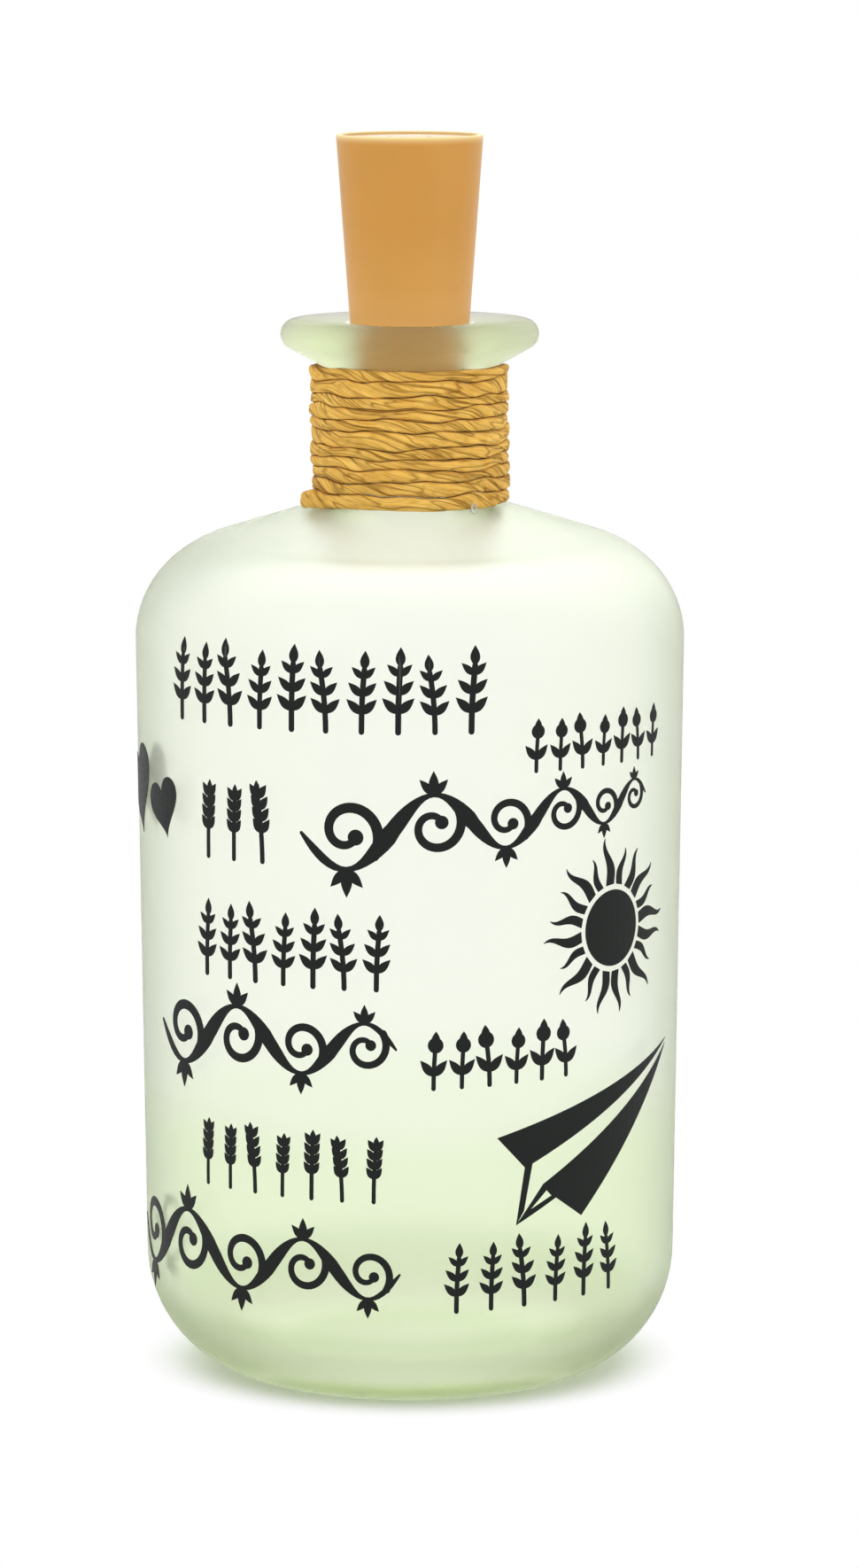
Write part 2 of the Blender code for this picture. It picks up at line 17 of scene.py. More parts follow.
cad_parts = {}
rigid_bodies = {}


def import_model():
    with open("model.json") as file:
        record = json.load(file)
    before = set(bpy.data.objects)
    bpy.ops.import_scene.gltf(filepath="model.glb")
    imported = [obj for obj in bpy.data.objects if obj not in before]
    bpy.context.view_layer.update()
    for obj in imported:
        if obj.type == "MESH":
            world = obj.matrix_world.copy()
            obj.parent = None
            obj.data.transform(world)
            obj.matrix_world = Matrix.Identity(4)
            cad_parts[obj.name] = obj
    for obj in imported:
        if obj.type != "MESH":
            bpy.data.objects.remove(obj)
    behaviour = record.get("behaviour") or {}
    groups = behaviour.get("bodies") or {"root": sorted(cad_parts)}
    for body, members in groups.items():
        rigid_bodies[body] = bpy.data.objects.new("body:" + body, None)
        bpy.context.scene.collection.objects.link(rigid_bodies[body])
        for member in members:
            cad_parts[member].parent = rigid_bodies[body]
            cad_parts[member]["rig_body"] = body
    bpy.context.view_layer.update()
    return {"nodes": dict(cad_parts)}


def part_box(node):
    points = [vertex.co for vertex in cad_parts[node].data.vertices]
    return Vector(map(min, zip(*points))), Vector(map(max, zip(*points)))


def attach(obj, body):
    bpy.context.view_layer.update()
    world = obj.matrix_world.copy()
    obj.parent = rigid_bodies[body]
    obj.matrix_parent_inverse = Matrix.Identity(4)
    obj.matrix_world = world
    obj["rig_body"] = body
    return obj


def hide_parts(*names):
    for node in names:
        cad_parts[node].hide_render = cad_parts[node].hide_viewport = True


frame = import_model()
nodes = frame["nodes"]

mm = 0.001

# Surfaces: what counts as one point, a sharp edge, a corner of an outline, a fine step of an arc, a straight
# run beside a shorter one, a flat facet and a face that looks up or down
weld = 0.001 * mm
sharp_angle = math.radians(35)
corner_angle = math.radians(50)
fine_step = math.radians(6)
straight_share = 2.5
facet_angle = math.radians(0.5)
level_share = 0.9

# Camera: where the photograph was taken from, and the lens for its 970 x 1770 frame
camera_place = (3.0 * mm, -1000.0 * mm, 237.3 * mm)
camera_pitch = math.radians(8.31)
camera_lens = 150.9
camera_sensor = 36.0

# Studio: the floor fades from a lit surface at the bottle to plain white further out, sooner in front.
# A lamp has a name, a place, the side of its square and its power
floor_radius = 6.0
floor_colour = (0.91, 0.96, 0.86)
floor_fade_from = 31.0 * mm
floor_fade_to = 43.0 * mm
floor_shade_setback = 7.0 * mm
floor_glow_through_glass = 0.85
ambient = 0.92
lamps = (
    ("key_lamp", (-0.85, -0.95, 0.95), 0.8, 2.6),
    ("fill_lamp", (1.05, -0.70, 0.45), 0.9, 1.7),
    ("top_lamp", (0.05, 0.15, 1.30), 1.0, 1.0),
    ("back_lamp", (0.25, 1.20, 0.60), 1.0, 2.0),
)
lamp_aim = (0.0, 0.0, 100.0 * mm)

# Finishes: clouds and grain are noises, with scales to the metre. Most of a noise lies in its core
noise_core = (0.3, 0.7)
cloud_scale = 90.0
grain_scale = 2500.0
grain_depth = 0.01 * mm
roughness_swing = 0.06

# Glass: where the painted shade of the foot, heel and sole and the floor plate's tint fade out upwards, and
# the lip's painted shade comes in
foot_shade_heights = (39.0 * mm, 47.0 * mm)
heel_shade_heights = (12.0 * mm, 15.0 * mm)
sole_shade_heights = (3.0 * mm, 8.0 * mm)
plate_tint_heights = (5.0 * mm, 7.0 * mm)
plate_edge_radii = (26.0 * mm, 30.0 * mm)
lip_shade_heights = (154.0 * mm, 163.0 * mm)
etch_roughness = (0.33, 0.42)
etch_depth = 0.006 * mm
lip_roughness_gain = 2.1
inside_roughness_share = 0.15

# Stopper: where its painted light makes it paler downwards, where the painted light of its foot comes in, and
# its painted highlight on the top edge
stopper_painted_light_heights = (152.0 * mm, 177.0 * mm)
stopper_foot_painted_light_heights = (151.0 * mm, 168.0 * mm)
stopper_rim_highlight_heights = (189.4 * mm, 190.8 * mm)

# Cord: its rows as they cross the front, from the lowest up, as shares of the mean row
cord_foot = 134.80 * mm
cord_head = 156.0 * mm
cord_head_overlap = 0.1 * mm
cord_row_shares = (1.16, 1.08, 0.94, 0.82, 0.88, 1.28, 0.90, 0.97, 0.84, 1.26, 0.87)
cord_turns = 10.62
cord_start_angle = math.radians(143)
cord_front_angle = math.radians(270)
cord_step_at_back = 1.3
cord_inner_radius = 13.36 * mm
cord_depth = 1.85 * mm
cord_twist_length = 20.0 * mm
cord_clearance = 0.02 * mm
cord_rings_per_turn = 250
cord_ring_sides = 34

# Cord's section: how square it is, how crowded its points are outside, and how much its flat sides take off
# its depth and its height
cord_squareness = 3.2
cord_outside_crowding = 0.45
cord_flat_depth = 0.16
cord_flat_height = 0.05

# Cord's ends: each tapers over 1.2 mm of its run at a radius of 14 mm. The first also bulges, out and down
cord_end_turns = 1.2 / (math.tau * 14.0)
cord_end_size = 0.05
cord_start_bulge = 1.5 * mm
cord_start_bulge_down = 0.9
cord_start_bulge_place = 0.11
cord_start_bulge_turns = 0.07

# Cord's waves: the rows sway by (waves to the turn, size in mm, start), less so at the ends.
# Its twist, depth and folds waver by (length of run to the radian, size, start)
cord_sways = ((1.63, 0.08, 0.7), (3.29, 0.14, 2.0), (5.83, 0.16, 4.1), (9.71, 0.13, 0.3), (16.4, 0.06, 1.9))
cord_sway_at_ends = 0.25
cord_sway_growth = 1.5
cord_twist_waves = ((9.1 * mm, 1.3, 0.0), (3.7 * mm, 0.8, 1.3))
cord_depth_waves = ((5.3 * mm, 0.09, 0.0), (2.9 * mm, 0.07, 2.0))
cord_fold_waves = ((4.3 * mm, 0.4, 0.5),)
cord_fold_middle = 0.6

# Cord's folds: (angle in the twist, width in radians, depth as a share of the cord). Less of the depth counts
# upwards, and where the second fold fades the third grows, so that their shares keep one sum
cord_folds = ((0.0, 0.17, 0.20), (2.4, 0.14, 0.15), (-1.7, 0.13, 0.12))
cord_fold_rise = 0.35
cord_fold_sum = 1.5

# Cord's painted shade: in its folds, between rows, on its flat sides, at most, and the share of it kept under
# its lowest row
painted_shade_in_folds = 3.8
painted_shade_between_rows = 14
painted_shade_on_flats = 0.08
painted_shade_most = 0.95
cord_underside_shade = 0.3

# Glue: a thread drawn into a loop, in shares of the CAD drop's box, that swells towards its foot
glue_sag = 0.3 * mm
glue_loop_width = 0.30
glue_loop_height = 0.5
glue_thread = 0.10
glue_foot_swell = 0.35
glue_rings = 36
glue_sides = 12

# Places on the glass: its straight side for the vinyl, and the top of its shoulder, where the cord rests
side_share = 0.965
side_foot = 12.0 * mm
shoulder_inner_radius = 13.2 * mm
shoulder_heights = (130.0 * mm, 137.0 * mm)

# Vinyl: cut film on the outside of the glass, and how fine its outlines are
vinyl_thickness = 0.08 * mm
vinyl_clearance = 0.02 * mm
vinyl_strip = 1.5 * mm
vinyl_facet_angle = math.radians(1)
vinyl_point_gap_in_mm = 0.002
leaf_fatness = 0.42
leaf_points = 10
pen_sides = 12
heart_points = 64
sun_sides = 64


def link(piece):
    """Adds a piece to the scene."""
    bpy.context.scene.collection.objects.link(piece)
    return piece


class Shader:
    """A Principled material under construction, with short calls for its nodes."""

    def __init__(self, name, colour, roughness, **sockets):
        self.material = bpy.data.materials.new(name)
        self.material.use_nodes = True
        self.tree = self.material.node_tree
        self.surface = self.tree.nodes["Principled BSDF"]
        self.material.diffuse_color = (*colour, 1.0)
        self.set(self.surface, Base_Color=(*colour, 1.0), Roughness=roughness, **sockets)

    def set(self, node, **sockets):
        """Sets sockets by their names, with _ for a space."""
        for name, value in sockets.items():
            node.inputs[name.replace("_", " ")].default_value = value
        return node

    def add(self, kind, **sockets):
        return self.set(self.tree.nodes.new(kind), **sockets)

    def join(self, start, end):
        self.tree.links.new(start, end)

    def place(self, **sockets):
        """Object coordinates in metres, through a mapping."""
        coordinates = self.add("ShaderNodeTexCoord")
        mapping = self.add("ShaderNodeMapping", **sockets)
        self.join(coordinates.outputs["Object"], mapping.inputs["Vector"])
        return mapping.outputs["Vector"]

    def noise(self, vector, scale, detail=3.0, roughness=0.5):
        made = self.add("ShaderNodeTexNoise", Scale=scale, Detail=detail, Roughness=roughness)
        self.join(vector, made.inputs["Vector"])
        return made.outputs["Fac"]

    def spread(self, value, low, high, start=0.0, end=1.0):
        """Maps a value from start..end to low..high."""
        made = self.add("ShaderNodeMapRange", From_Min=start, From_Max=end, To_Min=low, To_Max=high)
        self.join(value, made.inputs["Value"])
        return made.outputs["Result"]

    def blend(self, share, first, second):
        """A colour between two, each a colour or another node's output."""
        made = self.add("ShaderNodeMix")
        made.data_type = "RGBA"
        sockets = [socket for socket in made.inputs if socket.type == "RGBA"]
        self.join(share, made.inputs["Factor"])
        for socket, colour in zip(sockets, (first, second)):
            if isinstance(colour, tuple):
                socket.default_value = (*colour, 1.0)
            else:
                self.join(colour, socket)
        return next(socket for socket in made.outputs if socket.type == "RGBA")

    def layered(self, ground, *layers):
        """A ground with colours laid over it one after another, each by its own share."""
        for share, colour in layers:
            ground = self.blend(share, ground, colour)
        return ground

    def calculate(self, operation, *values):
        """Arithmetic on numbers and other nodes' outputs."""
        made = self.add("ShaderNodeMath")
        made.operation = operation
        for socket, value in zip(made.inputs, values):
            if isinstance(value, float):
                socket.default_value = value
            else:
                self.join(value, socket)
        return made.outputs["Value"]

    def multiply(self, first, second):
        return self.calculate("MULTIPLY", first, second)

    def length(self, vector):
        made = self.add("ShaderNodeVectorMath")
        made.operation = "LENGTH"
        self.join(vector, made.inputs[0])
        return made.outputs["Value"]

    def height(self, vector):
        made = self.add("ShaderNodeSeparateXYZ")
        self.join(vector, made.inputs["Vector"])
        return made.outputs["Z"]

    def attribute(self, name):
        """The outputs of a node that reads a mesh's own values."""
        made = self.add("ShaderNodeAttribute")
        made.attribute_name = name
        return made.outputs

    def bump(self, height, distance, strength):
        made = self.add("ShaderNodeBump", Strength=strength, Distance=distance)
        self.join(height, made.inputs["Height"])
        self.join(made.outputs["Normal"], self.surface.inputs["Normal"])

    def colour(self, value):
        self.join(value, self.surface.inputs["Base Color"])

    def roughness(self, value):
        self.join(value, self.surface.inputs["Roughness"])

    def grain(self, place, scale, roughness, strength=0.5):
        """A fine surface grain, which also varies the roughness."""
        fine = self.noise(place, scale, detail=2.0)
        low, high = roughness - roughness_swing, roughness + roughness_swing
        self.roughness(self.spread(fine, low, high, *noise_core))
        self.bump(fine, grain_depth, strength)
        return fine


def shade(colour, factor):
    """A colour made lighter or darker."""
    return tuple(min(1.0, channel * factor) for channel in colour)


def moulded(name, colour, roughness, grain=grain_scale, spread=0.07, **sockets):
    """Plastic, ceramic or metal: clouds of slightly lighter and darker colour and a fine surface grain."""
    made = Shader(name, colour, roughness, **sockets)
    place = made.place()
    clouds = made.noise(place, cloud_scale, detail=4.0)
    made.colour(made.blend(clouds, shade(colour, 1 - spread), shade(colour, 1 + spread)))
    made.grain(place, grain, roughness)
    return made.material


def caramel_plastic():
    """Translucent moulded plastic, with painted light: paler towards its narrow end, lit at its foot, and a
    painted highlight on its top edge.
    """
    # dark is the plastic's own colour; pale, foot and edge are painted light: the lit narrow end, the lit
    # foot and a painted highlight on the top edge
    dark, pale = (0.605, 0.276, 0.040), (0.800, 0.425, 0.100)
    foot, edge = (0.96, 0.53, 0.18), (0.92, 0.75, 0.38)
    roughness = 0.42
    made = Shader(
        "caramel_plastic",
        dark,
        roughness,
        Specular_IOR_Level=0.50,
        Subsurface_Weight=0.30,
        Subsurface_Radius=(1.0, 0.6, 0.25),
        Subsurface_Scale=0.002,
    )
    place = made.place()
    height = made.height(place)
    # Masks of the painted light: paler downwards, the lit foot and the highlight on the top edge
    low = made.spread(height, 1.0, 0.0, *stopper_painted_light_heights)
    lowest = made.spread(height, 1.0, 0.0, *stopper_foot_painted_light_heights)
    painted_rim_highlight = made.spread(height, 0.0, 1.0, *stopper_rim_highlight_heights)
    clouds = made.noise(place, cloud_scale, detail=4.0)
    tones = [made.blend(low, shade(dark, factor), shade(pale, factor)) for factor in (0.94, 1.06)]
    side = made.blend(clouds, *tones)
    made.colour(made.layered(side, (lowest, foot), (made.multiply(painted_rim_highlight, painted_rim_highlight), edge)))
    made.grain(place, grain_scale, roughness)
    return made.material


def frosted_glass():
    """Almost clear glass, etched outside and smooth within, with painted shade: greener towards its foot,
    darker at its heel and sole, and grey at its lip.
    """
    made = Shader("frosted_glass_surface", (0.98, 0.995, 0.97), 0.40, IOR=1.22, Transmission_Weight=0.97)
    place = made.place()
    height = made.height(place)
    radius = made.length(made.place(Scale=(1.0, 1.0, 0.0)))
    outer = made.spread(radius, 0.0, 1.0, *plate_edge_radii)
    inner = made.spread(radius, 1.0, 0.0, *plate_edge_radii)
    # foot, heel, sole and lip are masks of painted shade; plate is the floor plate's tint
    foot, heel, sole, plate = (
        made.spread(height, 1.0, 0.0, *heights)
        for heights in (foot_shade_heights, heel_shade_heights, sole_shade_heights, plate_tint_heights)
    )
    lip = made.spread(height, 0.0, 1.0, *lip_shade_heights)
    clouds = made.noise(place, scale=38.0, detail=3.0)
    etched = made.blend(clouds, (0.990, 0.998, 0.980), (0.998, 1.000, 0.992))
    # Painted shade: greener and darker towards the foot, heel and sole, and grey at the lip
    tinted_and_shaded = made.layered(
        etched,
        (foot, (0.943, 0.982, 0.872)),
        (made.multiply(outer, heel), (0.785, 0.845, 0.685)),
        (made.multiply(outer, sole), (0.800, 0.765, 0.735)),
        (made.multiply(inner, plate), (0.990, 1.000, 0.960)),
        (lip, (0.750, 0.725, 0.705)),
    )
    made.colour(tinted_and_shaded)

    etch = made.noise(place, scale=3600.0, detail=2.0, roughness=0.6)
    outside = made.attribute("outside")["Fac"]
    at_lip = made.spread(lip, 1.0, lip_roughness_gain)
    rough = made.multiply(made.spread(etch, *etch_roughness, *noise_core), at_lip)
    made.roughness(made.multiply(rough, made.spread(outside, inside_roughness_share, 1.0)))
    made.bump(made.multiply(etch, outside), etch_depth, 0.5)
    body = made.add("ShaderNodeVolumeAbsorption", Color=(0.66, 0.885, 0.14, 1.0), Density=21.0)
    made.join(body.outputs["Volume"], made.tree.nodes["Material Output"].inputs["Volume"])
    return made.material


def clear_plastic(name, colour, roughness, transmission):
    """Clear plastic, resin or glue with a faint haze."""
    made = Shader(name, colour, roughness, IOR=1.49, Transmission_Weight=transmission)
    haze = made.noise(made.place(), scale=700.0)
    made.colour(made.blend(haze, shade(colour, 0.97), shade(colour, 1.03)))
    made.roughness(made.spread(haze, roughness, roughness + roughness_swing, *noise_core))
    return made.material


def paper():
    """Twisted kraft paper: fibres along the lay, with painted shade in its pleat lines and where the paper
    folds under.
    """
    made = Shader(
        "twisted_paper",
        (0.72, 0.39, 0.08),
        0.78,
        Specular_IOR_Level=0.10,
        Sheen_Weight=0.15,
        Sheen_Roughness=0.45,
        Sheen_Tint=(1.0, 0.82, 0.45, 1.0),
    )
    coarse_pleat_shade, fine_pleat_shade, fine_depth = 0.62, 0.30, 0.35
    lay = made.attribute("lay")["Vector"]
    painted_crease_shade = made.attribute("painted_crease_shade")["Fac"]

    def along_lay(stretch, scale, detail):
        mapping = made.add("ShaderNodeMapping", Scale=(stretch, 1.0, 1.0))
        made.join(lay, mapping.inputs["Vector"])
        return made.noise(mapping.outputs["Vector"], scale, detail, roughness=0.55)

    def pleats(stretch, scale, width):
        """Thin lines where a stretched noise crosses its middle."""
        from_middle = made.calculate("SUBTRACT", along_lay(stretch, scale, detail=1.5), 0.5)
        return made.spread(made.calculate("ABSOLUTE", from_middle), 1.0, 0.0, 0.0, width)

    coarse = pleats(stretch=0.16, scale=620.0, width=0.035)
    fine = pleats(stretch=0.10, scale=1700.0, width=0.055)
    fibres = along_lay(stretch=0.08, scale=5200.0, detail=3.0)
    blotches = made.noise(made.place(), scale=210.0, detail=5.0, roughness=0.65)
    cloudy = made.spread(blotches, 0.0, 1.0, *noise_core)
    ground = made.blend(cloudy, (0.780, 0.372, 0.045), (0.980, 0.580, 0.115))
    # Painted shade: darker pleat lines, then the cord's painted shade in its folds and between its rows
    pleat_and_fold_shaded = made.layered(
        ground,
        (made.spread(fibres, 0.0, 0.55, 0.35, 0.65), (0.97, 0.655, 0.210)),
        (made.multiply(coarse, coarse_pleat_shade), (0.240, 0.088, 0.005)),
        (made.multiply(fine, fine_pleat_shade), (0.300, 0.120, 0.010)),
        (painted_crease_shade, (0.195, 0.068, 0.003)),
    )
    made.colour(pleat_and_fold_shaded)
    made.roughness(made.spread(fibres, 0.70, 0.86, *noise_core))
    grooves = made.calculate("MULTIPLY_ADD", fine, -fine_depth, made.multiply(coarse, -1.0))
    made.bump(grooves, 0.14 * mm, 0.9)
    return made.material


def vinyl():
    """Matt black film with a faint orange peel."""
    roughness = 0.48
    made = Shader("black_vinyl", (0.0120, 0.0140, 0.0130), roughness, Specular_IOR_Level=0.12)
    peel = made.grain(made.place(), 1500.0, roughness, strength=0.4)
    made.colour(made.blend(peel, (0.0105, 0.0125, 0.0115), (0.0135, 0.0155, 0.0145)))
    return made.material


def section(name):
    """The outline of a turned node as (radius, height), read in the upright plane through its axis."""
    low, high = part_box(name)
    axis = (low + high) / 2
    form = bmesh.new()
    form.from_mesh(nodes[name].data)
    bmesh.ops.remove_doubles(form, verts=form.verts, dist=weld)
    bmesh.ops.bisect_plane(
        form,
        geom=form.verts[:] + form.edges[:] + form.faces[:],
        dist=weld,
        plane_co=axis,
        plane_no=(0.0, 1.0, 0.0),
        clear_inner=True,
        clear_outer=True,
    )
    near = {}
    for edge in form.edges:
        ends = edge.verts
        if min(end.co.x for end in ends) > axis.x - weld:
            for here, there in (ends, reversed(ends)):
                near.setdefault(here, []).append(there)
    start = next((point for point in near if len(near[point]) == 1), next(iter(near)))
    chain = [start]
    while True:
        onward = [point for point in near[chain[-1]] if point not in chain]
        if not onward:
            break
        chain.append(onward[0])
    outline = [(point.co.x - axis.x, point.co.z) for point in chain]
    closed = outline[0][0] > weld
    form.free()
    return outline, closed, axis


def finer(outline, closed):
    """The outline with its arcs drawn in small steps. Corners and straight runs stay as they are."""
    points = [Vector(point) for point in outline]
    count = len(points)
    runs = count if closed else count - 1
    sides = [points[(index + 1) % count] - points[index] for index in range(runs)]
    leaving = [side.normalized() for side in sides]
    arriving = [side.normalized() for side in sides]
    for index in range(runs if closed else runs - 1):
        before, after = sides[index], sides[(index + 1) % runs]
        if before.angle(after) > corner_angle:
            continue
        if before.length > straight_share * after.length:
            heading = before.normalized()
        elif after.length > straight_share * before.length:
            heading = after.normalized()
        else:
            heading = (before.normalized() + after.normalized()).normalized()
        arriving[index] = heading
        leaving[(index + 1) % runs] = heading
    smooth = []
    for index, side in enumerate(sides):
        first, last = leaving[index] * side.length, arriving[index] * side.length
        steps = max(1, math.ceil(first.angle(last) / fine_step))
        for step in range(steps):
            t = step / steps
            place = points[index] + side * (3 * t**2 - 2 * t**3)
            place += first * (t - 2 * t**2 + t**3) + last * (t**3 - t**2)
            smooth.append((max(0.0, place.x), place.y))
    if not closed:
        smooth.append(outline[-1])
    return smooth


def turned(name, outline, closed, axis, sides):
    """A mesh turned round an upright axis."""
    mesh = bpy.data.meshes.new(name)
    form = bmesh.new()
    points = [form.verts.new((axis.x + radius, axis.y, height)) for radius, height in outline]
    pairs = list(zip(points, points[1:]))
    if closed:
        pairs.append((points[-1], points[0]))
    edges = [form.edges.new(pair) for pair in pairs]
    bmesh.ops.spin(
        form,
        geom=points + edges,
        cent=(axis.x, axis.y, 0.0),
        axis=(0.0, 0.0, 1.0),
        angle=math.tau,
        steps=sides,
        use_merge=True,
    )
    bmesh.ops.remove_doubles(form, verts=form.verts, dist=weld)
    bmesh.ops.recalc_face_normals(form, faces=form.faces)
    form.to_mesh(mesh)
    form.free()
    mesh.shade_smooth()
    mesh.set_sharp_from_angle(angle=sharp_angle)
    return mesh


def dress(node, mesh, material):
    """Puts a finer mesh in a CAD node's place, on its body and with its material slot."""
    piece = link(bpy.data.objects.new(f"fine_{node}", mesh))
    mesh.materials.append(material)
    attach(piece, nodes[node]["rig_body"])
    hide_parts(node)
    return piece


def dress_turned(node, material, sides):
    """A node that is round an upright axis: the same outline with smooth arcs, turned anew."""
    outline, closed, axis = section(node)
    return dress(node, turned(f"fine_{node}", finer(outline, closed), closed, axis, sides), material)


def mark_outside(mesh):
    """Marks the points of a hollow turned mesh that face outwards, for the etch."""
    places = np.empty(len(mesh.vertices) * 3, np.float32)
    normals = np.empty(len(mesh.vertices) * 3, np.float32)
    mesh.vertices.foreach_get("co", places)
    mesh.vertices.foreach_get("normal", normals)
    places, normals = places.reshape(-1, 3), normals.reshape(-1, 3)
    middle = places[:, 2].max() / 2
    radial = (places[:, :2] * normals[:, :2]).sum(axis=1)
    level = np.abs(normals[:, 2]) > level_share
    away = np.where(level, normals[:, 2] * (places[:, 2] - middle), radial)
    mark = mesh.attributes.new("outside", "FLOAT", "POINT")
    mark.data.foreach_set("value", (away > 0).astype(np.float32))


def dress_softened(node, material, edge_round):
    """A node with flat sides: the same solid with its facets joined and its edges just broken."""
    mesh = bpy.data.meshes.new(f"fine_{node}")
    form = bmesh.new()
    form.from_mesh(nodes[node].data)
    bmesh.ops.remove_doubles(form, verts=form.verts, dist=weld)
    bmesh.ops.dissolve_limit(form, angle_limit=facet_angle, verts=form.verts, edges=form.edges)
    form.to_mesh(mesh)
    form.free()
    mesh.shade_smooth()
    mesh.set_sharp_from_angle(angle=sharp_angle)
    piece = dress(node, mesh, material)
    if edge_round:
        edge = piece.modifiers.new("broken_edges", "BEVEL")
        edge.width = edge_round
        edge.segments = 2
        edge.limit_method = "ANGLE"
        edge.angle_limit = sharp_angle
        edge.harden_normals = True


def tube_mesh(name, points, sides, closed):
    """A tube through rings of points. It is joined end to end where it is closed, or else has end caps."""
    rings = len(points) // sides
    ring = np.arange(sides)
    onward = np.roll(ring, -1)
    base = np.arange(rings if closed else rings - 1)[:, None] * sides
    above = (base + sides) % len(points)
    faces = np.stack((base + ring, base + onward, above + onward, above + ring), axis=-1).reshape(-1, 4)
    caps = [] if closed else [ring[::-1].tolist(), (ring + (rings - 1) * sides).tolist()]
    mesh = bpy.data.meshes.new(name)
    mesh.from_pydata(points.tolist(), [], faces.tolist() + caps)
    form = bmesh.new()
    form.from_mesh(mesh)
    bmesh.ops.recalc_face_normals(form, faces=form.faces)
    form.to_mesh(mesh)
    form.free()
    mesh.shade_smooth()
    return mesh


def waves(run, middle, sizes):
    """A value that wavers about its middle along the cord's run."""
    return sum((size * np.sin(run / length + start) for length, size, start in sizes), middle)


def row_boundary(turn):
    """The height of the line under the cord's row, by turns along the winding.

    Rows share these lines. They lie level across the front and climb to the next row at the back.
    """
    mean = (cord_head - cord_foot) / len(cord_row_shares)
    heights = cord_foot + mean * np.concatenate(([0.0], np.cumsum(cord_row_shares)))
    at_front = (cord_front_angle - cord_start_angle) / math.tau + np.arange(len(heights))
    beside = turn - at_front[0] - np.round(turn - at_front[0])
    climbed = turn - beside + beside * np.abs(2.0 * beside) ** cord_step_at_back
    line = np.interp(climbed, at_front, heights)
    line = np.where(climbed < at_front[0], heights[0] + (climbed - at_front[0]) * mean, line)
    sway = sum(size * np.sin(math.tau * rate * turn + start) for rate, size, start in cord_sways)
    from_start = np.clip((turn - at_front[0]) * cord_sway_growth, 0.0, 1.0)
    to_end = np.clip((at_front[-1] - turn) * cord_sway_growth, 0.0, 1.0)
    return line + sway * (cord_sway_at_ends + (1 - cord_sway_at_ends) * (from_start * to_end)) * mm


def flatness(twist):
    """How flat the cord is at each point: 1 on its two broad sides and 0 on its edges."""
    return (1.0 - np.cos(2.0 * twist)) / 2.0


def fold_depths(twist, run):
    """How deep the folds along the twist are. The second and the third fade by turns."""
    fading = waves(run, cord_fold_middle, cord_fold_waves)
    depths = 0.0
    for (place, width, depth), share in zip(cord_folds, (1.0, fading, cord_fold_sum - fading)):
        near = np.abs(np.angle(np.exp(1j * (twist - place))))
        depths = depths + depth * np.exp(-((near / width) ** 2)) * share
    return depths


def pleat_heights(twist, run):
    """How high the fine pleats along the twist are: large ones that waver, and small ones."""
    large_count, large_height, large_waver, waver_length = 9.0, 0.020, 2.0, 2.3 * mm
    small_count, small_height, small_slip_length = 17.0, 0.012, 1.1 * mm
    large = large_height * np.sin(large_count * twist + large_waver * np.sin(run / waver_length))
    return large + small_height * np.sin(small_count * twist + run / small_slip_length)


def cord_places():
    """Where the points of the cord's rings are, by turns, by run, by angle round it and in its twist."""
    count = round(cord_turns * cord_rings_per_turn) + 1
    turn = np.linspace(0.0, cord_turns, count)[:, None]
    run = turn * math.tau * (cord_inner_radius + cord_depth / 2)
    even = np.linspace(-1.0, 1.0, cord_ring_sides, endpoint=False)[None, :]
    round_it = math.pi * even - cord_outside_crowding * np.sin(math.pi * even)
    twist = round_it + run / cord_twist_length * math.tau + waves(run, 0.0, cord_twist_waves)
    return turn, run, round_it, twist


def cord_points(turn, run, round_it, twist, shoulder):
    """The points of the cord's rings. They fill the rows, and the lowest row rests on the shoulder."""
    flat, folds, pleats = flatness(twist), fold_depths(twist, run), pleat_heights(twist, run)
    low = row_boundary(turn)
    high = np.minimum(row_boundary(turn + 1.0), cord_head + cord_head_overlap)
    depth = cord_depth * waves(run, 1.0, cord_depth_waves)
    ends = np.clip(np.minimum(turn, cord_turns - turn) / cord_end_turns, 0.0, 1.0) ** 0.5
    ends = np.maximum(ends, cord_end_size)
    bulge = cord_start_bulge * np.exp(-(((turn - cord_start_bulge_place) / cord_start_bulge_turns) ** 2))

    across, up = np.cos(round_it), np.sin(round_it)
    squared = np.abs(across) ** cord_squareness + np.abs(up) ** cord_squareness
    fullness = squared ** (-1 / cord_squareness)
    width = fullness * (1.0 - cord_flat_depth * flat - folds + pleats)
    out = across * width * (depth / 2 + bulge * (across > 0)) * ends
    width = fullness * (1.0 - cord_flat_height * flat - cord_fold_rise * folds + pleats)
    rise = up * width * (high - low) / 2 * ends
    rise -= cord_start_bulge_down * bulge * np.clip(-up, 0.0, 1.0) * ends

    angle = cord_start_angle + math.tau * turn
    reach = np.maximum(cord_inner_radius + depth / 2 + out, cord_inner_radius)
    resting = np.interp(reach, *np.array(shoulder).T) + cord_clearance
    height = np.maximum((low + high) / 2 + rise, resting)
    return np.stack((reach * np.cos(angle), reach * np.sin(angle), height), axis=-1).reshape(-1, 3)


def cord_painted_shade(turn, run, round_it, twist):
    """Painted shade on the paper at each point: in its folds, between rows and on its flat sides."""
    up = np.sin(round_it)
    between_rows = np.abs(up) ** painted_shade_between_rows
    dark = painted_shade_in_folds * fold_depths(twist, run) + between_rows + painted_shade_on_flats * flatness(twist)
    dark *= np.where((turn < 1.0) & (up < 0.0), cord_underside_shade, 1.0)
    return np.clip(dark, 0.0, painted_shade_most)


